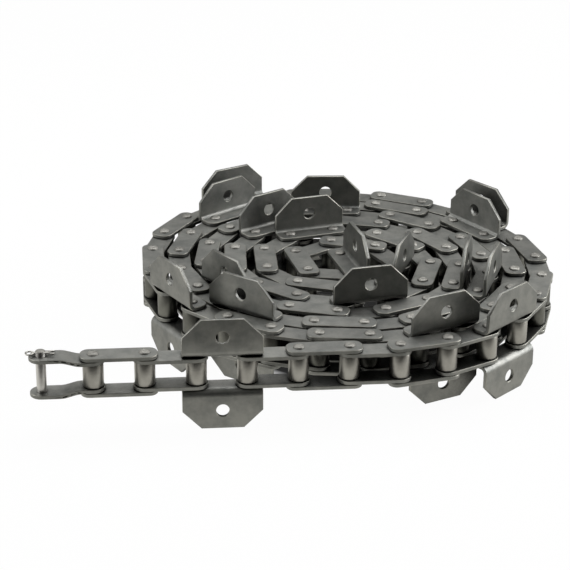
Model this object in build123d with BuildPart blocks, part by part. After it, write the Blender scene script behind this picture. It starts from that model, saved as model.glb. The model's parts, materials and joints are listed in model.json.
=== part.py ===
from build123d import *
from cmath import phase, rect
from math import cos, degrees, hypot, pi, radians, sqrt
import os

# Conveyor roller chain with bent attachment plates, lying on its side in a coil.
# Its pins stand along +Z. Link n joins pin n-1 to pin n, and pin 0 is the free end's.
# Link 1 is the offset link; after it, even links are outer links and odd ones inner.

# Links
pitch = 41.4
link_count = 106
inner_width = 21.2  # between the inner plates
plate_thickness = 3.2
plate_height = 19.3
outer_end_margin = 0.65  # an outer plate's end reaches past an inner one's
outer_corner_radius = 7.0
roller_diameter = 16.9
bush_diameter = 11.4
pin_diameter = 8.2
head_diameter = 9.2
head_height = 1.9
head_bevel = 0.7

# Clearances
running_clearance = 0.05  # radial: pin in bush, and roller on bush
side_play = 0.3  # between an inner plate and an outer one
roller_end_play = 0.3  # between a roller and an inner plate

# Attachments: outer plates with an edge bent up into a wing with a bolt hole
first_attachment = 4
attachment_step = 6
wing_length = 65.5
wing_height = 31.2  # above the plate's outer face
wing_offset = 10.0  # from the pin line to the wing's outer face
wing_corner = 15.5
bend_radius = 3.2  # inside the bend
wing_hole_diameter = 11.0
wing_hole_height = 15.3  # above the plate's outer face

# Offset link, connecting pin and split pin
crank_start = 17.5  # from pin 0 to where the plate starts to step inwards
crank_run = 12.0
crank_rounding = 5.0
connecting_pin_end = 5.0  # above the upper offset plate
split_pin_wire = 1.5
split_pin_gap = 0.1  # between its legs in the cross hole
split_pin_eye = 3.2  # radius to the middle of the wire
split_pin_leg = 7.5  # from the pin's side to a leg's tip
split_pin_spread = 2.9  # from the middle to a leg's tip

# Coil
moving_links = 10  # outermost links, made in full detail and free to turn
straight_links = 6
core_radius = 14.6  # of the chain's inner end
turn_clearance = 1.0
ovality = 0.038
long_axis = 68.5  # degrees from the inner end
roller_facets = 8  # of a coiled roller
head_facets = 6  # of a coiled pin's head
hole_facets = 8  # of a coiled wing's hole
plate_bevel = 5.6  # of a coiled plate's corners

# Heights above the middle of the chain
inner_face = inner_width / 2
outer_face = inner_face + plate_thickness + side_play
outer_side = outer_face + plate_thickness
bend_outside = bend_radius + plate_thickness
inner_length = pitch + plate_height
plate_length = inner_length + 2 * outer_end_margin
bush_bore = pin_diameter + 2 * running_clearance
roller_bore = bush_diameter + 2 * running_clearance
bush_length = inner_width + 2 * plate_thickness
roller_length = inner_width - 2 * roller_end_play


def turn_gap(radius):
    """Distance out to the next turn at which an attachment's ends clear its plates."""
    inside = max(radius, 0.6 * pitch)
    outside = inside + plate_height
    bow = outside - sqrt(outside**2 - (pitch / 2) ** 2)
    bend_reach = wing_offset - bend_outside + sqrt(bend_outside**2 - bend_radius**2)
    wing_line = sqrt(inside**2 - (pitch / 2) ** 2) + bend_reach
    wing_end = hypot(wing_line, wing_length / 2) - inside
    return wing_end + bow + plate_height / 2 + turn_clearance


def coil_point(radius, angle):
    swell = 1 + ovality * cos(2 * (angle - radians(long_axis)))
    return rect(radius * swell, angle)


def lay_chain():
    """Pin axes as complex numbers: a straight run along X, then the coil inwards."""
    radius, angle = core_radius, 0.0
    coiled = [coil_point(radius, angle)]
    for _ in range(link_count - straight_links):
        radius += turn_gap(radius) * pitch / (2 * pi * radius)
        sweep = pitch / radius
        for _ in range(20):  # closes the chord between two pins on the pitch
            sweep *= pitch / abs(coil_point(radius, angle - sweep) - coiled[-1])
        angle -= sweep
        coiled.append(coil_point(radius, angle))
    coiled.reverse()
    step = coiled[1] - coiled[0]
    straight = [coiled[0] - step * n for n in range(straight_links, 0, -1)]
    level = rect(1, -phase(step))
    return [axis * level for axis in straight + coiled]


pins = lay_chain()
moving = range(1, moving_links + 1)
attachments = range(first_attachment, link_count + 1, attachment_step)


def pin_places(numbers):
    return [Location((pins[n].real, pins[n].imag)) for n in numbers]


def link_places(numbers):
    """Middle of each link, turned so that X runs from its outer pin to its inner one."""
    places = []
    for n in numbers:
        middle = (pins[n - 1] + pins[n]) / 2
        heading = degrees(phase(pins[n] - pins[n - 1]))
        places.append(Location((middle.real, middle.imag, 0), (0, 0, heading)))
    return places


def name_link(number, piece):
    return f"link_{number:02d}_{piece}"


pieces = {}

# ---------------------------------------------------------------- plates


def inner_outline():
    SlotCenterToCenter(pitch, plate_height)


def outer_outline():
    RectangleRounded(plate_length, plate_height, outer_corner_radius)


def coiled_outline():
    """A plate's outline with straight bevels in place of its round ends."""
    end = inner_length / 2
    side = plate_height / 2
    corners = [(end, side - plate_bevel), (end - plate_bevel, side)]
    corners += [(-x, y) for x, y in reversed(corners)]
    corners += [(-x, -y) for x, y in corners]
    Polygon(*corners)


def make_plates(numbers, outline, face, hole_diameter=0, hole_pins=(), sides=(1, -1)):
    """Plates of some links, upper and lower, with inner faces at face from the middle."""
    with BuildPart() as plates:
        for side in sides:
            level = face if side > 0 else -face - plate_thickness
            with BuildSketch(Plane.XY.offset(level)):
                with Locations(*link_places(numbers)):
                    outline()
                if hole_diameter:
                    with Locations(*pin_places(hole_pins)):
                        Circle(hole_diameter / 2, mode=Mode.SUBTRACT)
            extrude(amount=plate_thickness, clean=False)
    return plates


# ---------------------------------------------------------------- pins, bushes and rollers


def make_pins(numbers):
    """Riveted pins, with a rounded head outside each outer plate."""
    with BuildPart() as riveted:
        with Locations(*pin_places(numbers)):
            Cylinder(pin_diameter / 2, 2 * outer_side)
        for side in (-1, 1):
            with Locations(Location((0, 0, side * (outer_side + head_height / 2)))):
                with Locations(*pin_places(numbers)):
                    Cylinder(head_diameter / 2, head_height)
        rims = riveted.edges().filter_by(GeomType.CIRCLE).group_by(Axis.Z)
        chamfer(rims[0] + rims[-1], head_bevel)
    return riveted


def make_tubes(numbers, outside, inside, length):
    with BuildPart() as tubes:
        with Locations(*pin_places(numbers)):
            Cylinder(outside / 2, length)
            Hole(inside / 2)
    return tubes


# ---------------------------------------------------------------- attachments


def draw_angle():
    """Cross-section of an upper attachment: the plate, and the wing on its outer edge."""
    with Locations((-wing_offset, outer_face)):
        Rectangle(wing_offset + plate_height / 2, plate_thickness, align=Align.MIN)
        Rectangle(plate_thickness, plate_thickness + wing_height, align=Align.MIN)


wing_face = Plane.XZ.offset(wing_offset)
wing_hole_level = outer_side + wing_hole_height

with BuildPart() as attachment:
    with BuildSketch(Plane.YZ) as section:
        draw_angle()
        bend_in = (-wing_offset + plate_thickness, outer_side)
        bend_out = (-wing_offset, outer_face)
        fillet(section.vertices().sort_by_distance(bend_in)[0], bend_radius)
        fillet(section.vertices().sort_by_distance(bend_out)[0], bend_outside)
    extrude(amount=wing_length / 2, both=True)
    chamfer(attachment.edges().filter_by(Axis.Y).group_by(Axis.Z)[-1], wing_corner)
    fillet(attachment.edges().filter_by(Axis.Z).group_by(Axis.Y)[-1], outer_corner_radius)
    with BuildSketch(wing_face):
        with Locations((0, wing_hole_level)):
            Circle(wing_hole_diameter / 2)
    extrude(amount=-plate_thickness, mode=Mode.SUBTRACT)
    with Locations((-pitch / 2, 0, outer_side), (pitch / 2, 0, outer_side)):
        Hole(pin_diameter / 2, plate_thickness)

with BuildPart() as coiled_attachment:
    with BuildSketch(Plane.YZ) as section:
        draw_angle()
        heel = section.vertices().sort_by_distance((-wing_offset, outer_face))[0]
        chamfer(heel, bend_radius)
    extrude(amount=wing_length / 2, both=True)
    chamfer(coiled_attachment.edges().filter_by(Axis.Y).group_by(Axis.Z)[-1], wing_corner)
    chamfer(coiled_attachment.edges().filter_by(Axis.Z).group_by(Axis.Y)[-1], plate_bevel)
    with BuildSketch(wing_face):
        with Locations((0, wing_hole_level)):
            RegularPolygon(wing_hole_diameter / 2, hole_facets, rotation=180 / hole_facets)
    extrude(amount=-plate_thickness, mode=Mode.SUBTRACT)


def place_copies(master, places, upper=True):
    """Copies of a piece, as drawn or turned over to the chain's lower side."""
    with BuildPart() as copies:
        with Locations(*places):
            add(master.part if upper else master.part.mirror(Plane.XY))
    return copies


# ---------------------------------------------------------------- offset link

with BuildPart() as offset_plate:
    with BuildSketch(Plane.XZ) as band:
        with BuildLine():
            wide_end = -inner_length / 2
            step_start = -pitch / 2 + crank_start
            step_end = step_start + crank_run
            lower = [(wide_end, outer_face), (step_start, outer_face)]
            lower += [(step_end, inner_face), (-wide_end, inner_face)]
            upper = [(x, z + plate_thickness) for x, z in reversed(lower)]
            Polyline(*lower, *upper, close=True)
        make_face()
        bends = band.vertices().filter_by_position(Axis.X, step_start - 1, step_end + 1)
        fillet(bends, crank_rounding)
    extrude(amount=plate_height / 2, both=True)
    with BuildSketch():
        inner_outline()
    extrude(amount=outer_side, mode=Mode.INTERSECT)
    with Locations((-pitch / 2, 0, outer_side)):
        Hole(pin_diameter / 2 + running_clearance)
    with Locations((pitch / 2, 0, outer_side)):
        Hole(bush_diameter / 2)

split_pin_level = outer_side + connecting_pin_end / 2
leg_line = (split_pin_wire + split_pin_gap) / 2

wire_corner = hypot(split_pin_wire + split_pin_gap / 2, split_pin_wire / 2)
cross_hole_radius = wire_corner + running_clearance

with BuildPart() as connecting_pin:
    with BuildSketch(Plane.XY.offset(-outer_side)):
        Circle(pin_diameter / 2)
    extrude(amount=2 * outer_side + connecting_pin_end)
    with BuildSketch(Plane.XY.offset(-outer_side)):
        Circle(head_diameter / 2)
    extrude(amount=-head_height)
    rims = connecting_pin.edges().filter_by(GeomType.CIRCLE).group_by(Axis.Z)
    chamfer(rims[0] + rims[-1], head_bevel)
    with BuildSketch(Plane.YZ):
        with Locations((0, split_pin_level)):
            Circle(cross_hole_radius)
    extrude(amount=pin_diameter, both=True, mode=Mode.SUBTRACT)

with BuildPart() as split_pin:
    with BuildSketch(Plane.XY.offset(split_pin_level - split_pin_wire / 2)):
        with BuildLine() as bent_wire:
            eye_start = -pin_diameter / 2 - split_pin_wire
            eye_end = eye_start - sqrt(split_pin_eye**2 - leg_line**2) - split_pin_eye
            leg_tip = pin_diameter / 2 + split_pin_leg
            leg = [(leg_tip, split_pin_spread), (pin_diameter / 2, leg_line), (eye_start, leg_line)]
            Polyline(*leg)
            ThreePointArc((eye_start, leg_line), (eye_end, 0), (eye_start, -leg_line))
            Polyline(*[(x, -y) for x, y in reversed(leg)])
        trace(line_width=split_pin_wire)
    extrude(amount=split_pin_wire)

pieces["link_01_plate_upper"] = place_copies(offset_plate, link_places([1]))
pieces["link_01_plate_lower"] = place_copies(offset_plate, link_places([1]), upper=False)
pieces["link_01_bush"] = make_tubes([1], bush_diameter, bush_bore, bush_length)
pieces["link_01_connecting_pin"] = place_copies(connecting_pin, pin_places([0]))
pieces["link_01_split_pin"] = place_copies(split_pin, pin_places([0]))

# ---------------------------------------------------------------- moving links

for number in moving:
    pieces[f"roller_{number:02d}"] = make_tubes([number], roller_diameter, roller_bore, roller_length)

for number in moving[1:]:
    ends = (number - 1, number)
    plates = name_link(number, "plates")
    if number in attachments:
        place = link_places([number])
        pieces[name_link(number, "attachment_upper")] = place_copies(attachment, place)
        pieces[name_link(number, "attachment_lower")] = place_copies(attachment, place, upper=False)
        pieces[name_link(number, "pins")] = make_pins(ends)
    elif number % 2 == 0:
        pieces[plates] = make_plates([number], outer_outline, outer_face, pin_diameter, ends)
        pieces[name_link(number, "pins")] = make_pins(ends)
    else:
        pieces[plates] = make_plates([number], inner_outline, inner_face, bush_diameter, ends)
        pieces[name_link(number, "bushes")] = make_tubes(ends, bush_diameter, bush_bore, bush_length)

# ---------------------------------------------------------------- coil

lead_link = moving_links + 1
inner_links = range(lead_link + 2, link_count, 2)
outer_links = [n for n in range(lead_link + 1, link_count + 1, 2) if n not in attachments]
attachment_links = [n for n in attachments if n > lead_link]
coiled_pins = range(lead_link, link_count)


def make_coiled_heads(level):
    with BuildPart() as heads:
        with BuildSketch(Plane.XY.offset(level)):
            with Locations(*pin_places([*coiled_pins, link_count])):
                RegularPolygon(head_diameter / 2, head_facets)
        extrude(amount=head_height, clean=False)
    return heads


with BuildPart() as coiled_rollers:
    with BuildSketch():
        with Locations(*pin_places(coiled_pins)):
            RegularPolygon(roller_diameter / 2, roller_facets)
    extrude(amount=inner_face, both=True, clean=False)

with BuildPart() as last_pin:
    with Locations(*pin_places([link_count])):
        Cylinder(pin_diameter / 2, 2 * outer_face)

lead_pin = [moving_links]
pieces[name_link(lead_link, "plates")] = make_plates(
    [lead_link], inner_outline, inner_face, bush_diameter, lead_pin
)
pieces[name_link(lead_link, "bush")] = make_tubes(lead_pin, bush_diameter, bush_bore, bush_length)
for side, where in ((1, "upper"), (-1, "lower")):
    head_level = outer_side if side > 0 else -outer_side - head_height
    pieces[f"coil_inner_plates_{where}"] = make_plates(
        inner_links, coiled_outline, inner_face, sides=[side]
    )
    pieces[f"coil_outer_plates_{where}"] = make_plates(
        outer_links, coiled_outline, outer_face, sides=[side]
    )
    pieces[f"coil_attachments_{where}"] = place_copies(
        coiled_attachment, link_places(attachment_links), side > 0
    )
    pieces[f"coil_pin_heads_{where}"] = make_coiled_heads(head_level)
pieces["coil_rollers"] = coiled_rollers
pieces["coil_last_pin"] = last_pin

# ---------------------------------------------------------------- frame and files

# The origin lies under the middle of the whole chain, on the floor that it rests on.
whole = Compound([piece.part for piece in pieces.values()]).bounding_box()
to_floor = Location((-whole.center().X, -whole.center().Y, -whole.min.Z))

os.makedirs("parts", exist_ok=True)
for name, piece in pieces.items():
    piece.part.label = name
    export_step(piece.part.moved(to_floor), f"parts/{name}.step")
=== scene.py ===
# %% [markdown]
# # A coiled conveyor chain
# The chain lies on its side, so its pins stand upright. It is wound into a coil, and
# its free end runs out straight at the front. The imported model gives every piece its
# place. Here each kind of piece is modelled once, in full detail, and then copied to
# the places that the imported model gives.

# %% Load the frame
import json
from math import atan2, cos, degrees, pi, radians, sin

import bpy
from mathutils import Matrix, Vector


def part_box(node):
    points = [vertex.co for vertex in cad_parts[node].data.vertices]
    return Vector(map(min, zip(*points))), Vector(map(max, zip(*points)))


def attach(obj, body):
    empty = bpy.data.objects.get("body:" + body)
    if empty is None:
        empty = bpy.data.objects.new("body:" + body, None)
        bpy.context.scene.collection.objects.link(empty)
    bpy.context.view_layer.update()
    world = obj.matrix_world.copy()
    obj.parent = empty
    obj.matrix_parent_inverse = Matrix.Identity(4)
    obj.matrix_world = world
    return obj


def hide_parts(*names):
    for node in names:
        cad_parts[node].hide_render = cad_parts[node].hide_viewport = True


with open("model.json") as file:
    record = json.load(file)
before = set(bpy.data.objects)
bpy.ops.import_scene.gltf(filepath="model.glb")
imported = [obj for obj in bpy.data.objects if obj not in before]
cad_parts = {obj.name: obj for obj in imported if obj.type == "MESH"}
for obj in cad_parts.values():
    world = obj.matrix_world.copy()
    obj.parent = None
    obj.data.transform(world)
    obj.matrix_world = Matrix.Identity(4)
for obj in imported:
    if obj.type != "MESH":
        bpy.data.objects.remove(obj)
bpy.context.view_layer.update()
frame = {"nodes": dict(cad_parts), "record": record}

MM = 0.001

# %% [markdown]
# ## Sizes
# The sizes below are the chain's own: its pitch, its plates, its rollers and its bent
# wings. They repeat the driving sizes of the solids, so the detailed pieces fill the
# same space. Blender counts in metres, so each one is given in millimetres times MM.

# %% Sizes of the links
pitch = 41.4 * MM
plate_thickness = 3.2 * MM
plate_height = 19.3 * MM
inner_length = pitch + plate_height
outer_end_margin = 0.65 * MM  # an outer plate reaches this far past an inner one
outer_length = inner_length + 2 * outer_end_margin
outer_corner = 7.0 * MM
inner_face = 10.6 * MM
outer_face = 14.1 * MM
outer_side = outer_face + plate_thickness
roller_radius = 8.45 * MM
roller_half = 10.3 * MM
bush_radius = 5.7 * MM
bush_half = inner_face + plate_thickness
pin_radius = 4.1 * MM
head_radius = 4.6 * MM
clearance = 0.05 * MM  # between a pin, its bush and its roller
rim = 0.4 * MM  # rounding of a punched edge
roller_corner = 0.8 * MM
moving_links = 10  # from the free end, and the rest are coiled
attachment_step = 6
first_attachment = 4
print("plate", round(inner_length / MM, 1), "long and", round(plate_height / MM, 1), "high")

# %% Sizes of the wings and of the offset link
wing_length = 65.5 * MM
wing_top = outer_side + 31.2 * MM
wing_line = 10.0 * MM
wing_corner = 15.5 * MM
bend_radius = 3.2 * MM
wing_hole = 5.5 * MM
wing_hole_level = outer_side + 15.3 * MM
crank_start = 17.5 * MM
crank_run = 12.0 * MM
crease_rounding = 2.5 * MM
connecting_pin_end = 5.0 * MM
split_level = outer_side + connecting_pin_end / 2
cross_hole = 1.72 * MM
wire = 0.75 * MM
print("wing top at", round(wing_top / MM, 1), "above the chain's middle")

# %% [markdown]
# ## Where each link lies
# A link runs from its outer pin to its inner one. The first eleven pins are the
# axes of the hinges, and the rest are the middles of the coiled rollers. A node that
# holds many solids is one mesh, so its loose parts are told apart first: every corner
# is joined to those it shares a triangle with, after corners at one place are merged.

# %% Middles of a node's loose parts
def loose_middles(node):
    """Middle of the box of each separate solid in a node, in the order it is stored."""
    mesh = frame["nodes"][node].data
    keys, leader = {}, []

    def find(i):
        while leader[i] != i:
            leader[i] = leader[leader[i]]
            i = leader[i]
        return i

    corner = []
    for vertex in mesh.vertices:
        key = tuple(round(c * 1e6) for c in vertex.co)
        if key not in keys:
            keys[key] = len(leader)
            leader.append(len(leader))
        corner.append(keys[key])
    for face in mesh.polygons:
        first = find(corner[face.vertices[0]])
        for v in face.vertices[1:]:
            leader[find(corner[v])] = first
    groups = {}
    for vertex in mesh.vertices:
        groups.setdefault(find(corner[vertex.index]), []).append(vertex.co)
    middles = []
    for points in groups.values():
        low = Vector([min(p[i] for p in points) for i in range(3)])
        high = Vector([max(p[i] for p in points) for i in range(3)])
        middles.append((low + high) / 2)
    return middles


# %% Pin axes, from the free end inwards
hinge_at = {j["name"]: Vector(j["pos_m"]) for j in frame["record"]["behaviour"]["joints"]}
low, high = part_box("link_01_connecting_pin")
pins = [(low + high) / 2]
pins += [hinge_at[f"link_{n:02d}_hinge"] for n in range(1, moving_links + 1)]
level = pins[1].z
pins[0].z = level
waiting = loose_middles("coil_rollers")
while waiting:
    step = min(waiting, key=lambda p: abs((p.xy - pins[-1].xy).length - pitch))
    waiting.remove(step)
    pins.append(Vector((step.x, step.y, level)))
low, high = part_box("coil_last_pin")
pins.append(Vector(((low.x + high.x) / 2, (low.y + high.y) / 2, level)))
link_count = len(pins) - 1
gaps = [(pins[n] - pins[n - 1]).length / MM for n in range(1, link_count + 1)]
print("links", link_count, "pitch from", round(min(gaps), 2), "to", round(max(gaps), 2))

# %% [markdown]
# ## Modelling by hand in code
# Each piece starts as a primitive at its own size. In edit mode, faces, edges or
# corners are picked by where they lie, and then beveled, extruded, inset or spun. The
# helpers here pick them, put a cut edge's small rounding on a finished piece, and keep
# a curved side smooth while the flats stay flat.

# %% Pick parts of a mesh
def pick(piece, kind, test):
    """Select the faces, edges or corners whose middle and direction pass the test."""
    bpy.ops.object.mode_set(mode="EDIT")
    bpy.ops.mesh.select_mode(type=kind)
    bpy.ops.mesh.select_all(action="DESELECT")
    bpy.ops.object.mode_set(mode="OBJECT")
    mesh = piece.data
    if kind == "FACE":
        for face in mesh.polygons:
            face.select = test(face.center, face.normal)
    elif kind == "EDGE":
        for edge in mesh.edges:
            a, b = (mesh.vertices[v].co for v in edge.vertices)
            edge.select = test((a + b) / 2, (b - a).normalized())
    else:
        for vertex in mesh.vertices:
            vertex.select = test(vertex.co, None)
    bpy.ops.object.mode_set(mode="EDIT")


# %% Start and cut a piece
def start_piece(name, add, **sizes):
    """Add a primitive, with its place and size kept in its mesh."""
    bpy.ops.object.select_all(action="DESELECT")
    add(**sizes)
    piece = bpy.context.object
    bpy.ops.object.transform_apply(location=True, rotation=True, scale=True)
    piece.name = piece.data.name = name
    return piece


def cut_hole(piece, radius, middle, turned=(0, 0, 0), sides=24):
    """Cut a round hole right through a piece."""
    cutter = start_piece(
        "cutter", bpy.ops.mesh.primitive_cylinder_add,
        vertices=sides, radius=radius, depth=6 * plate_thickness, location=middle, rotation=turned,
    )
    bpy.ops.object.select_all(action="DESELECT")
    piece.select_set(True)
    bpy.context.view_layer.objects.active = piece
    cut = piece.modifiers.new("hole", "BOOLEAN")
    cut.object, cut.operation, cut.solver = cutter, "DIFFERENCE", "EXACT"
    bpy.ops.object.modifier_apply(modifier=cut.name)
    bpy.data.objects.remove(cutter)


# %% Keep one order
sort_from = (1.0, 0.7, 0.4)  # a point off to one side, so that no two are equally near


def keep_one_order(piece):
    """Sort edges and faces, because a spin can store them in another order each run."""
    bpy.ops.object.mode_set(mode="EDIT")
    bpy.ops.mesh.select_all(action="SELECT")
    bpy.context.scene.cursor.location = sort_from
    bpy.ops.mesh.sort_elements(type="CURSOR_DISTANCE", elements={"EDGE", "FACE"})
    bpy.context.scene.cursor.location = (0, 0, 0)
    bpy.ops.object.mode_set(mode="OBJECT")


# %% Finish a piece
weld = 0.02 * MM  # corners nearer to each other than this are one


def finish_piece(piece, materials, rim_width=rim, rim_angle=50, smooth=40):
    """Close the mesh, round its sharp edges and give it its steels."""
    bpy.ops.object.mode_set(mode="EDIT")
    bpy.ops.mesh.select_all(action="SELECT")
    bpy.ops.mesh.remove_doubles(threshold=weld)
    bpy.ops.mesh.normals_make_consistent(inside=False)
    bpy.ops.object.mode_set(mode="OBJECT")
    for material in materials:
        piece.data.materials.append(material)
    if rim_width:
        round_rim = piece.modifiers.new("rim", "BEVEL")
        round_rim.limit_method = "ANGLE"
        round_rim.angle_limit = radians(rim_angle)
        round_rim.width = rim_width
        round_rim.segments = 1
        round_rim.material = len(materials) - 1
        bpy.ops.object.modifier_apply(modifier=round_rim.name)
    bpy.ops.object.shade_smooth_by_angle(angle=radians(smooth))
    size = [round(side / MM, 2) for side in piece.dimensions]
    print(piece.name, "faces", len(piece.data.polygons), "size", size)
    return piece

# %% [markdown]
# ## Helpers for materials
# A material is a small graph of nodes. Four steps come back in every one of them:
# stretching a value from one range to another, working out one number from two, a
# cloud of noise, and a blend of two shaders. Each is a helper, so that a finish below
# reads as a short recipe.

# %% Nodes in short form
def new_material(name):
    """Start a material, and give its nodes and the maker of its links with it."""
    material = bpy.data.materials.new(name)
    material.use_nodes = True
    return material, material.node_tree.nodes, material.node_tree.links.new


def remap(nodes, link, value, start, end, low=0, high=1):
    """Stretch a value's range from start and end to low and high, held at both ends."""
    stretch = nodes.new("ShaderNodeMapRange")
    limits = {"From Min": start, "From Max": end, "To Min": low, "To Max": high}
    for socket, limit in limits.items():
        stretch.inputs[socket].default_value = limit
    link(value, stretch.inputs["Value"])
    return stretch.outputs["Result"]


def work_out(nodes, link, operation, first, second):
    """One number from two, such as their product."""
    result = nodes.new("ShaderNodeMath")
    result.operation = operation
    link(first, result.inputs[0])
    link(second, result.inputs[1])
    return result.outputs["Value"]


def noise(nodes, link, where, scale, detail, roughness=0.5):
    """A cloud of values between 0 and 1, with scale lumps to a metre."""
    cloud = nodes.new("ShaderNodeTexNoise")
    cloud.inputs["Scale"].default_value = scale
    cloud.inputs["Detail"].default_value = detail
    cloud.inputs["Roughness"].default_value = roughness
    link(where, cloud.inputs["Vector"])
    return cloud.outputs["Fac"]


def shader_for_rays(nodes, link, kind_of_ray, other, chosen):
    """Show one shader to a kind of ray, such as the camera's, and another to the rest."""
    rays = nodes.new("ShaderNodeLightPath")
    mix = nodes.new("ShaderNodeMixShader")
    link(rays.outputs[kind_of_ray], mix.inputs["Fac"])
    link(other, mix.inputs[1])
    link(chosen, mix.inputs[2])
    return mix.outputs["Shader"]


# %% [markdown]
# ## Steels
# The chain is bare, lightly oiled steel. Rolled plate is dark grey with a slight olive
# tint, and it drifts lighter and darker in patches. Punched edges are worn a little
# brighter, and turned rollers and pins are lighter and smoother. Noise in object
# coordinates gives the patches, a finer noise the grain, and each loose part gets its
# own shade, because no two plates leave the press with the same surface. Between the
# coil's tight turns little light gets in, so ambient occlusion, which measures how
# closed in a point is, paints shade there by taking the colour down. A face that looks
# straight up counts as a little more closed in, which paints more shade on level faces
# that lie under other parts.

# %% A bare steel
crevice_reach = 40 * MM
crevice_samples = 8
dark_from = 0.14  # openness at which the painted shade makes steel as dark as it gets
darkest = 0.03
level_from = 0.85  # upward part of the normal from which a face counts as level
# painted shade on level faces that lie under other parts
shade_on_level = 0.15
patch_scale = 55
patch_from, patch_to = 0.4, 0.68  # noise that is still all colour, and all patch colour
grain_scale = 420
rough_below, rough_above = 0.08, 0.12  # how far the grain moves the roughness
grain_depth = 0.4 * MM


def openness(nodes, link, lit_at):
    """Painted shade: how much of its own colour the steel shows, little in a crevice, all in the
    open.
    """
    # Painted shade: ambient occlusion darkens the steel where the coil closes it in
    crevice = nodes.new("ShaderNodeAmbientOcclusion")
    crevice.inputs["Distance"].default_value = crevice_reach
    crevice.samples = crevice_samples
    surface = nodes.new("ShaderNodeNewGeometry")
    facing = nodes.new("ShaderNodeSeparateXYZ")
    link(surface.outputs["Normal"], facing.inputs["Vector"])
    # Painted shade on level faces: a face that looks up loses more colour where a part above
    # shadows it
    level_shade = remap(nodes, link, facing.outputs["Z"], level_from, 1, high=shade_on_level)
    left_open = work_out(nodes, link, "SUBTRACT", crevice.outputs["AO"], level_shade)
    return remap(nodes, link, left_open, dark_from, lit_at, low=darkest)


def bare_steel(name, colour, patch_colour, roughness, grain=0.12, spread=0.12, lit_at=0.5):
    """Metal whose colour drifts in patches, differs a little from part to part and takes painted
    shade in crevices.
    """
    steel, nodes, link = new_material(name)
    shader = nodes["Principled BSDF"]
    shader.inputs["Metallic"].default_value = 1.0
    where = nodes.new("ShaderNodeTexCoord").outputs["Object"]

    blend = nodes.new("ShaderNodeMix")
    blend.data_type = "RGBA"
    blend.inputs["A"].default_value = (*colour, 1)
    blend.inputs["B"].default_value = (*patch_colour, 1)
    patches = noise(nodes, link, where, patch_scale, detail=4, roughness=0.62)
    link(remap(nodes, link, patches, patch_from, patch_to), blend.inputs["Factor"])

    part = nodes.new("ShaderNodeNewGeometry").outputs["Random Per Island"]
    shade = remap(nodes, link, part, 0, 1, 1 - spread, 1 + spread)
    # The part's own tone times the painted shade of crevices
    tone = work_out(nodes, link, "MULTIPLY", shade, openness(nodes, link, lit_at))
    scaled = nodes.new("ShaderNodeVectorMath")
    scaled.operation = "SCALE"
    link(blend.outputs["Result"], scaled.inputs[0])
    link(tone, scaled.inputs["Scale"])
    link(scaled.outputs["Vector"], shader.inputs["Base Color"])

    fine = noise(nodes, link, where, grain_scale, detail=3)
    rough = remap(nodes, link, fine, 0, 1, roughness - rough_below, roughness + rough_above)
    link(rough, shader.inputs["Roughness"])
    bump = nodes.new("ShaderNodeBump")
    bump.inputs["Strength"].default_value = grain
    bump.inputs["Distance"].default_value = grain_depth
    link(fine, bump.inputs["Height"])
    link(bump.outputs["Normal"], shader.inputs["Normal"])
    print("steel", name, "roughness", roughness)
    return steel


# %% The chain's steels
plate_steel = bare_steel("plate_steel", (0.285, 0.286, 0.27), (0.195, 0.2, 0.192), 0.45)
edge_steel = bare_steel("worn_edge", (0.38, 0.375, 0.335), (0.27, 0.27, 0.245), 0.45)
punched = [plate_steel, edge_steel]
roller_steel = bare_steel(
    "roller_steel", (0.44, 0.43, 0.4), (0.35, 0.34, 0.315), 0.36, spread=0.08, lit_at=0.28
)
# A darker copy of the roller steel: partly oily steel, mostly painted shade, as little light gets
# between the coil's turns
oily_and_shaded_steel = bare_steel("oily_and_shaded_steel", (0.2, 0.2, 0.18), (0.12, 0.12, 0.11), 0.4)
turned_steel = bare_steel(
    "turned_steel", (0.7, 0.69, 0.67), (0.6, 0.59, 0.57), 0.34, spread=0.02, lit_at=0.28
)
pin_steel = bare_steel("pin_steel", (0.37, 0.365, 0.34), (0.22, 0.215, 0.2), 0.56, grain=0.5)
bright_wire = bare_steel("split_pin_steel", (0.5, 0.49, 0.46), (0.36, 0.36, 0.34), 0.3)

# %% [markdown]
# ## Plates
# A link plate is punched from strip: straight sides, round ends and a small rounding
# all round. A box is enough to start with. Its upright edges are beveled in several
# steps, which turns the ends round.

# %% Straight plates
def model_plate(name, length, corner, low, bore=0):
    """One upper plate, with its inner face at low above the chain's middle."""
    middle = (0, 0, low + plate_thickness / 2)
    plate = start_piece(
        name, bpy.ops.mesh.primitive_cube_add,
        size=1, location=middle, scale=(length, plate_height, plate_thickness),
    )
    pick(plate, "EDGE", lambda at, way: abs(way.z) > 0.9)
    bpy.ops.mesh.bevel(offset=min(corner, 0.499 * plate_height), segments=6, affect="EDGES")
    bpy.ops.object.mode_set(mode="OBJECT")
    if bore:
        for x in (-pitch / 2, pitch / 2):
            cut_hole(plate, bore, (x, 0, middle[2]), sides=20)
    return finish_piece(plate, punched)


inner_plate = model_plate("inner_plate", inner_length, plate_height / 2, inner_face)
outer_plate = model_plate("outer_plate", outer_length, outer_corner, outer_face)
bored_inner = model_plate("bored_inner", inner_length, plate_height / 2, inner_face, bush_radius)
bored_outer = model_plate("bored_outer", outer_length, outer_corner, outer_face, pin_radius)

# %% [markdown]
# ## Attachments
# An attachment is an outer plate with its outward edge bent up into a wing. The flat
# part is a box. The face on its outward edge is spun through a quarter turn about the
# bend's own axis and then extruded up, as a press brake folds the blank. Two corners
# are cut off, and a bolt hole goes through the middle of the wing.

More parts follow.
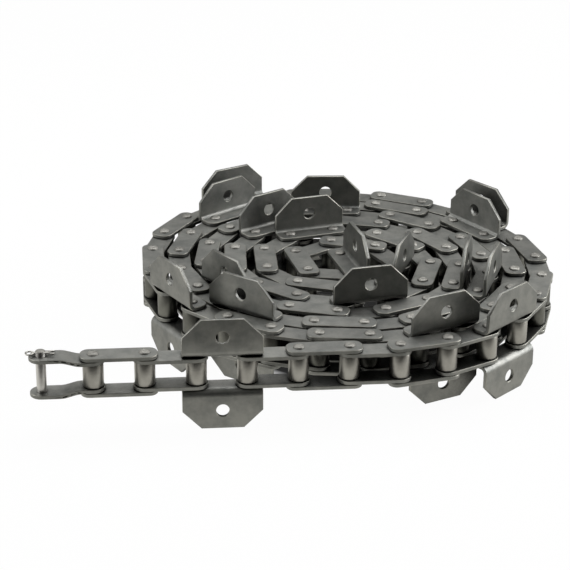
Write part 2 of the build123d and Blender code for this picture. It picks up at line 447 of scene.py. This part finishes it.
# %% Attachment
flat_start = wing_line - bend_radius - plate_thickness
flat_width = flat_start + plate_height / 2
wing = start_piece(
    "attachment", bpy.ops.mesh.primitive_cube_add, size=1,
    location=(0, flat_width / 2 - flat_start, outer_face + plate_thickness / 2),
    scale=(wing_length, flat_width, plate_thickness),
)
pick(wing, "FACE", lambda at, way: way.y < -0.9)
bpy.ops.mesh.spin(
    steps=6, angle=pi / 2, center=(0, -flat_start, outer_side + bend_radius), axis=(1, 0, 0)
)
bend_top = outer_side + bend_radius
bpy.ops.mesh.extrude_region_move(TRANSFORM_OT_translate={"value": (0, 0, wing_top - bend_top)})
bpy.ops.mesh.select_all(action="SELECT")
bpy.ops.mesh.remove_doubles(threshold=weld)
pick(wing, "EDGE", lambda at, way: abs(way.y) > 0.9 and at.z > wing_top - MM)
bpy.ops.mesh.bevel(offset=wing_corner, segments=1, affect="EDGES")
pick(wing, "EDGE", lambda at, way: abs(way.z) > 0.9 and at.y > plate_height / 2 - MM)
bpy.ops.mesh.bevel(offset=outer_corner, segments=5, affect="EDGES")
bpy.ops.object.mode_set(mode="OBJECT")
keep_one_order(wing)
cut_hole(wing, wing_hole, (0, -wing_line, wing_hole_level), turned=(pi / 2, 0, 0))
finish_piece(wing, punched)

# %% [markdown]
# ## Offset link
# The end link is cranked: its wide end lies outside, over the connecting pin, and its
# narrow end lies on the bush. The plate is modelled flat, cut across at both ends of
# the step, and the narrow end is moved inwards. The four creases are then rounded.

# %% Offset plate
step_start = -pitch / 2 + crank_start
step_end = step_start + crank_run
offset_plate = start_piece(
    "offset_plate", bpy.ops.mesh.primitive_cube_add, size=1,
    location=(0, 0, outer_face + plate_thickness / 2),
    scale=(inner_length, plate_height, plate_thickness),
)
pick(offset_plate, "EDGE", lambda at, way: abs(way.z) > 0.9)
bpy.ops.mesh.bevel(offset=0.499 * plate_height, segments=6, affect="EDGES")
for x in (step_start, step_end):
    bpy.ops.mesh.select_all(action="SELECT")
    bpy.ops.mesh.bisect(plane_co=(x, 0, 0), plane_no=(1, 0, 0))
pick(offset_plate, "VERT", lambda at, way: at.x > step_end - 0.1 * MM)
bpy.ops.transform.translate(value=(0, 0, inner_face - outer_face))


def on_crease(at, way):
    to_crease = min(abs(at.x - step_start), abs(at.x - step_end))
    return abs(way.y) > 0.9 and to_crease < 0.1 * MM


pick(offset_plate, "EDGE", on_crease)
bpy.ops.mesh.bevel(offset=crease_rounding, segments=3, affect="EDGES")
bpy.ops.object.mode_set(mode="OBJECT")
cut_hole(offset_plate, pin_radius, (-pitch / 2, 0, outer_face), sides=20)
cut_hole(offset_plate, bush_radius, (pitch / 2, 0, inner_face), sides=20)
finish_piece(offset_plate, punched)

# %% [markdown]
# ## Rollers, bushes and pins
# A roller is a short tube that turns on its bush. A cylinder's two ends are inset to
# the bore, the discs inside are taken out, and the two rims are bridged. A riveted pin
# swells into a low head where it is peened over: the end face is extruded outwards in
# small rises, each with its own width, and ends in the punch's shallow dimple.

# %% Tubes
def model_tube(name, outside, inside, half, sides, steel, corner=0):
    """A tube along Z, with its outer edges rounded by corner."""
    tube = start_piece(
        name, bpy.ops.mesh.primitive_cylinder_add, vertices=sides, radius=outside, depth=2 * half
    )
    pick(tube, "FACE", lambda at, way: abs(way.z) > 0.9)
    bpy.ops.mesh.inset(thickness=(outside - inside) * cos(pi / sides), use_individual=True)
    bpy.ops.mesh.delete(type="FACE")
    pick(tube, "EDGE", lambda at, way: at.xy.length < inside and abs(at.z) > half - 0.1 * MM)
    bpy.ops.mesh.bridge_edge_loops()
    if corner:
        pick(tube, "EDGE", lambda at, way: at.xy.length > 0.95 * outside and abs(way.z) < 0.1)
        bpy.ops.mesh.bevel(offset=corner, segments=2, affect="EDGES")
    bpy.ops.object.mode_set(mode="OBJECT")
    return finish_piece(tube, [steel], rim_width=0, smooth=50)


roller_bore = bush_radius + clearance
roller = model_tube(
    "roller", roller_radius, roller_bore, roller_half, 24, roller_steel, roller_corner
)
bush = model_tube("bush", bush_radius, pin_radius + clearance, bush_half, 14, pin_steel)

# %% Rises of a pin's end
def raise_end(piece, side, rises, start_radius):
    """Extrude a pin's end face outwards in small rises, each to its own radius."""
    radius = start_radius
    height = max(side * v.co.z for v in piece.data.vertices)
    end = height - 0.1 * MM
    pick(piece, "FACE", lambda at, way: side * way.z > 0.9 and side * at.z > end)
    for rise, width in rises:
        height += rise * MM
        bpy.ops.mesh.extrude_faces_move(TRANSFORM_OT_shrink_fatten={"value": rise * MM})
        factor = width * MM / radius
        middle = (0, 0, side * height)
        bpy.ops.transform.resize(value=(factor, factor, 1), center_override=middle)
        radius = width * MM
    bpy.ops.object.mode_set(mode="OBJECT")


# %% Riveted pin
head_width = head_radius / MM
head_rises = [(0, head_width), (0.7, head_width), (0.55, 4.15), (0.4, 3.2), (0.25, 1.9)]
dimple = (-0.35, 1.0)
riveted_pin = start_piece(
    "riveted_pin", bpy.ops.mesh.primitive_cylinder_add,
    vertices=14, radius=pin_radius, depth=2 * outer_side,
)
for side in (1, -1):
    raise_end(riveted_pin, side, head_rises + [dimple], pin_radius)
finish_piece(riveted_pin, [pin_steel], rim_width=0, smooth=50)

# %% [markdown]
# ## Connecting pin and split pin
# The end link's pin can be taken out: it has a head below and a domed end above, with
# a cross hole for the split pin. Its shaft is bright from turning, and its upper end is
# as dull as the other pins. The split pin is one length of wire folded at its eye, with
# its legs bent apart beyond the pin. A curve with a round section is the simplest way
# to bend wire, and it is made a mesh at the end.

# %% Connecting pin
dome = [(0.55, 3.8), (0.35, 3.1), (0.22, 2.1), (0.08, 1.0)]
dome_height = sum(rise for rise, width in dome) * MM
shaft_top = outer_side + connecting_pin_end - dome_height
shaft_bottom = -outer_side
connecting_pin = start_piece(
    "connecting_pin", bpy.ops.mesh.primitive_cylinder_add, vertices=28, radius=pin_radius,
    depth=shaft_top - shaft_bottom, location=(0, 0, (shaft_top + shaft_bottom) / 2),
)
raise_end(connecting_pin, 1, dome, pin_radius)
raise_end(connecting_pin, -1, [(0, head_width), (1.3, head_width), (0.6, 3.8)], pin_radius)
cut_hole(connecting_pin, cross_hole, (0, 0, split_level), turned=(0, pi / 2, 0), sides=16)
finish_piece(connecting_pin, [turned_steel, pin_steel], rim_width=0, smooth=50)
for face in connecting_pin.data.polygons:
    face.material_index = int(face.center.z > outer_side)

# %% Split pin
# Along and across the wire's path in millimetres, from a leg's bent tip to the eye
leg = [(11.4, 2.75), (9.0, 2.1), (6.2, 1.25), (4.4, 0.8), (0.0, 0.8), (-4.6, 0.8), (-5.6, 0.95)]
loop = [(-6.6, 2.5), (-8.7, 3.25), (-10.9, 2.6), (-11.9, 0)]
half = leg + loop
path = half + [(x, -y) for x, y in reversed(half[:-1])]

eye = bpy.data.curves.new("split_pin", "CURVE")
eye.dimensions = "3D"
eye.bevel_depth = wire
eye.bevel_resolution = 2
eye.use_fill_caps = True
eye.resolution_u = 6
bend = eye.splines.new("NURBS")
bend.points.add(len(path) - 1)
for point, (x, y) in zip(bend.points, path):
    point.co = (x * MM, y * MM, split_level, 1)
bend.order_u = 3
bend.use_endpoint_u = True
bent_wire = bpy.data.objects.new("split_pin", eye)
bpy.context.collection.objects.link(bent_wire)
bpy.ops.object.select_all(action="DESELECT")
bent_wire.select_set(True)
bpy.context.view_layer.objects.active = bent_wire
bpy.ops.object.convert(target="MESH")
split_pin = finish_piece(bpy.context.object, [bright_wire], rim_width=0, smooth=60)

# %% [markdown]
# ## Laying the chain
# Every master is drawn in a link's own directions: X along the link from its outer
# pin, -Y outwards and Z up from the chain's middle. A copy for the upper side is turned
# to its link's heading. For the lower side it is first turned over, about X for a plate
# and about Y for a wing, so that the wing stays on the outward side.

# %% Places
def link_place(n, turned_over=None):
    """Where link n lies, for the upper side or turned over about one of its axes."""
    outer, inner = pins[n - 1], pins[n]
    heading = atan2(inner.y - outer.y, inner.x - outer.x)
    place = Matrix.Translation((outer + inner) / 2) @ Matrix.Rotation(heading, 4, "Z")
    return place @ Matrix.Rotation(pi, 4, turned_over) if turned_over else place


def pin_place(n, turn=0):
    """Where pin n stands, turned about its own axis by some degrees."""
    return Matrix.Translation(pins[n]) @ Matrix.Rotation(radians(turn), 4, "Z")


print("link 1 lies at", [round(c / MM, 1) for c in link_place(1).translation])


# %% Lay a piece
def lay(name, master, places, body, slot, *nodes):
    """Copy a master to its places as one piece that rides on a body."""
    bpy.ops.object.select_all(action="DESELECT")
    laid = []
    for place in places:
        copy = master.copy()
        copy.data = master.data.copy()
        copy.data.transform(place)
        bpy.context.collection.objects.link(copy)
        copy.select_set(True)
        laid.append(copy)
    bpy.context.view_layer.objects.active = laid[0]
    if len(laid) > 1:
        bpy.ops.object.join()
    laid[0].name = laid[0].data.name = name
    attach(laid[0], body)
    if nodes:
        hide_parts(*nodes)
    return laid[0]


# %% Moving links
attachment_links = range(first_attachment, link_count + 1, attachment_step)
outer_end_turn, inner_end_turn = 17, 29  # degrees a link, so that heads stand unlike
for n in range(2, moving_links + 1):
    body = f"link_{n:02d}"
    both = [link_place(n), link_place(n, "X")]
    if n in attachment_links:
        for where, place in (("upper", link_place(n)), ("lower", link_place(n, "Y"))):
            node = f"{body}_attachment_{where}"
            lay(f"{node}_detail", wing, [place], body, "plate_steel", node)
    else:
        plate = bored_inner if n % 2 else bored_outer
        lay(f"{body}_plates_detail", plate, both, body, "plate_steel", f"{body}_plates")
    if n % 2 == 0:
        ends = [pin_place(n - 1, outer_end_turn * n), pin_place(n, inner_end_turn * n)]
        lay(f"{body}_pins_detail", riveted_pin, ends, body, "pin_steel", f"{body}_pins")
print("moving attachments", [n for n in attachment_links if n <= moving_links])

# %% Moving rollers
for n in range(1, moving_links + 1):
    body = f"roller_{n:02d}"
    lay(f"{body}_detail", roller, [pin_place(n)], body, "roller_steel", body)
print("moving rollers", moving_links)

# %% End link
for where, place in (("upper", link_place(1)), ("lower", link_place(1, "X"))):
    node = f"link_01_plate_{where}"
    lay(f"{node}_detail", offset_plate, [place], "link_01", "plate_steel", node)
lay(
    "connecting_pin_detail", connecting_pin, [pin_place(0)],
    "link_01", "pin_steel", "link_01_connecting_pin",
)
lay(
    "split_pin_detail", split_pin, [pin_place(0)],
    "link_01", "split_pin_steel", "link_01_split_pin",
)
print("end link at", [round(c / MM, 1) for c in pins[0]])

# %% Coiled plates
coiled = range(moving_links + 1, link_count + 1)
inner_links = [n for n in coiled if n % 2]
wing_links = [n for n in coiled if n in attachment_links]
outer_links = [n for n in coiled if n % 2 == 0 and n not in attachment_links]
lay(
    "lead_plates_detail", bored_inner, [link_place(coiled[0]), link_place(coiled[0], "X")],
    "coil", "plate_steel", "link_11_plates",
)
for where, over, turn in (("upper", None, None), ("lower", "X", "Y")):
    lay(
        f"inner_plates_{where}", inner_plate, [link_place(n, over) for n in inner_links[1:]],
        "coil", "plate_steel", f"coil_inner_plates_{where}",
    )
    lay(
        f"outer_plates_{where}", outer_plate, [link_place(n, over) for n in outer_links],
        "coil", "plate_steel", f"coil_outer_plates_{where}",
    )
    lay(
        f"wings_{where}", wing, [link_place(n, turn) for n in wing_links],
        "coil", "plate_steel", f"coil_attachments_{where}",
    )
print("coiled: inner", len(inner_links), "outer", len(outer_links), "wings", len(wing_links))

# %% Coiled pins, rollers and bushes
coiled_turn = 37  # degrees a pin
coiled_pins = [pin_place(n, coiled_turn * n) for n in coiled]
hidden_heads = ["coil_pin_heads_upper", "coil_pin_heads_lower", "coil_last_pin"]
lay("coiled_pins", riveted_pin, coiled_pins, "coil", "pin_steel", *hidden_heads)
bush_places = [pin_place(n) for n in coiled[:-1]]
coiled_rollers = lay(
    "coiled_rollers", roller, bush_places, "coil", "roller_steel", "coil_rollers"
)
# The coiled rollers take the darker steel: painted shade, with some oily darkening
coiled_rollers.data.materials[0] = oily_and_shaded_steel
lay("coiled_bushes", bush, bush_places, "coil", "pin_steel")
print("coiled: pins", len(coiled_pins), "rollers", len(bush_places))

# %% Take the masters out
masters = [inner_plate, outer_plate, bored_inner, bored_outer, wing, offset_plate, roller, bush]
masters += [riveted_pin, connecting_pin, split_pin]
for master in masters:
    bpy.data.objects.remove(master)
print("masters taken out", len(masters))

# %% Bushes of the moving links
for name, node in frame["nodes"].items():
    if "bush" in name:
        node.data.materials.clear()
        node.data.materials.append(pin_steel)
        print("kept", name)

# %% [markdown]
# ## Floor
# The floor is plain and nearly white. Seen directly it is mostly its own white, so the
# ground stays white and still takes a little of the coil's shadow. Under the coil no
# light reaches it, so there it is nearly black: within a circle under the coil, which
# reaches further at the back, and not in front of the coil's own front edge.

# %% White ground with shade under the coil
shade_middle = (60 * MM, 10 * MM, 0)
shade_reach = 118 * MM
shade_edge = 16 * MM
back_depth = 60 * MM  # over this far behind the origin the circle grows
back_growth = 45 * MM
shade_front = -104 * MM
front_edge = 10 * MM
darkest_floor = 0.02
own_white = 0.97  # share of the floor's look that is its own white

paper, nodes, link = new_material("white_paper")
paper_shader = nodes["Principled BSDF"]
paper_shader.inputs["Base Color"].default_value = (0.86, 0.86, 0.86, 1)
paper_shader.inputs["Roughness"].default_value = 0.9
where = nodes.new("ShaderNodeTexCoord").outputs["Object"]
split = nodes.new("ShaderNodeSeparateXYZ")
link(where, split.inputs["Vector"])
back_to_front = split.outputs["Y"]

from_middle = nodes.new("ShaderNodeVectorMath")
from_middle.operation = "DISTANCE"
from_middle.inputs[1].default_value = shade_middle
link(where, from_middle.inputs[0])
growth = remap(nodes, link, back_to_front, 0, back_depth, high=back_growth)
reach = work_out(nodes, link, "SUBTRACT", from_middle.outputs["Value"], growth)
around = remap(nodes, link, reach, shade_reach, shade_reach + shade_edge, low=darkest_floor)
before = remap(
    nodes, link, back_to_front, shade_front, shade_front + front_edge, low=1, high=darkest_floor
)
glow = nodes.new("ShaderNodeEmission")
link(work_out(nodes, link, "MAXIMUM", around, before), glow.inputs["Strength"])
white = nodes.new("ShaderNodeMixShader")
white.inputs["Fac"].default_value = own_white
link(paper_shader.outputs["BSDF"], white.inputs[1])
link(glow.outputs["Emission"], white.inputs[2])
print("shade reaches", round((shade_reach + shade_edge) / MM), "mm from its middle")

# %% [markdown]
# Steel is dark where it mirrors something dark. The lower wings and the rollers mirror
# the floor close by, which is bright. The upper wings stand higher, so they mirror the
# floor further out, where the room is dark. So glossy rays see a floor that is bright
# near the chain and black further to the front.

# %% What the steel mirrors in the floor
bright_floor_from = -325 * MM
dark_floor_from = -343 * MM
mirrored_strength = 0.78

mirrored = nodes.new("ShaderNodeEmission")
mirrored.inputs["Color"].default_value = (1, 0.985, 0.92, 1)
strength = remap(
    nodes, link, back_to_front, dark_floor_from, bright_floor_from, high=mirrored_strength
)
link(strength, mirrored.inputs["Strength"])
gloss = shader_for_rays(
    nodes, link, "Is Glossy Ray", paper_shader.outputs["BSDF"], mirrored.outputs["Emission"]
)
seen = shader_for_rays(nodes, link, "Is Camera Ray", gloss, white.outputs["Shader"])
link(seen, nodes["Material Output"].inputs["Surface"])

bpy.ops.mesh.primitive_plane_add(size=12, location=(0, 0, -0.5 * MM))
floor = bpy.context.object
floor.name = "floor"
floor.data.materials.append(paper)
print("floor", [round(side, 2) for side in floor.dimensions])

# %% [markdown]
# ## Room and lamps
# The room is a plain, slightly warm grey, and the backdrop that the camera sees behind
# the chain is white. A dark curtain closes the end of the room behind the camera, so
# upright steel that faces the front has something dark to mirror. A broad soft light
# hangs above, with a softer one at each side, so upward faces are the lightest.

# %% Room
world = bpy.data.worlds.new("studio")
bpy.context.scene.world = world
world.use_nodes = True
nodes, link = world.node_tree.nodes, world.node_tree.links.new
room = nodes["Background"]
room.inputs["Color"].default_value = (1.0, 0.99, 0.94, 1)
room.inputs["Strength"].default_value = 0.3
backdrop = nodes.new("ShaderNodeBackground")
backdrop.inputs["Color"].default_value = (1, 1, 1, 1)
seen = shader_for_rays(
    nodes, link, "Is Camera Ray", room.outputs["Background"], backdrop.outputs["Background"]
)
link(seen, nodes["World Output"].inputs["Surface"])
print("room", room.inputs["Strength"].default_value)

# %% Dark curtain
bpy.ops.mesh.primitive_plane_add(size=4, location=(0, -2.4, 1.6), rotation=(pi / 2, 0, 0))
curtain = bpy.context.object
curtain.name = "curtain"
cloth, nodes, link = new_material("dark_curtain")
nodes["Principled BSDF"].inputs["Base Color"].default_value = (0.02, 0.02, 0.02, 1)
nodes["Principled BSDF"].inputs["Roughness"].default_value = 1
plain = nodes.new("ShaderNodeEmission")
seen = shader_for_rays(
    nodes, link, "Is Camera Ray",
    nodes["Principled BSDF"].outputs["BSDF"], plain.outputs["Emission"],
)
link(seen, nodes["Material Output"].inputs["Surface"])
curtain.data.materials.append(cloth)
print("curtain", [round(side, 2) for side in curtain.dimensions])


# %% Softboxes
def softbox(name, at, size, power):
    """A rectangular soft lamp that looks at the middle of the floor."""
    lamp = bpy.data.lights.new(name, "AREA")
    lamp.shape = "RECTANGLE"
    lamp.size, lamp.size_y = size
    lamp.energy = power
    box = bpy.data.objects.new(name, lamp)
    bpy.context.collection.objects.link(box)
    box.location = at
    box.rotation_euler = (-Vector(at)).to_track_quat("-Z", "Y").to_euler()
    print("lamp", name, power, "W")


softbox("above", (0.1, 0.5, 1.5), (1.6, 1.2), 17.5)
softbox("left", (-1.4, -0.1, 0.7), (0.9, 1.2), 9)
softbox("right", (1.4, 0, 0.6), (0.9, 1.2), 17)

# %% [markdown]
# ## Camera
# The camera stands well back with a long lens, a little to the left, and looks down on
# the coil at about a quarter of a right angle. Its direction is built from its heading,
# its tilt and a slight roll, and the three directions make its turning matrix.

# %% Camera
eye_at = Vector((-0.1539, -1.5722, 0.7478))
heading = 0.0941
pitch_down = 0.4189
roll_right = 0.0084
level_part = cos(pitch_down)
forward = Vector((sin(heading) * level_part, cos(heading) * level_part, -sin(pitch_down)))
side = forward.cross(Vector((0, 0, 1))).normalized()
over = side.cross(forward)
right = cos(roll_right) * side + sin(roll_right) * over
top = -sin(roll_right) * side + cos(roll_right) * over

camera = bpy.data.objects.new("camera", bpy.data.cameras.new("camera"))
bpy.context.collection.objects.link(camera)
turn = Matrix((right, top, -forward)).transposed().to_4x4()
camera.matrix_world = Matrix.Translation(eye_at) @ turn
camera.data.sensor_width = 36
camera.data.lens = 122.55
bpy.context.scene.camera = camera
bpy.context.scene.view_settings.view_transform = "Standard"
print("camera looks down", round(degrees(pitch_down), 1), "degrees")
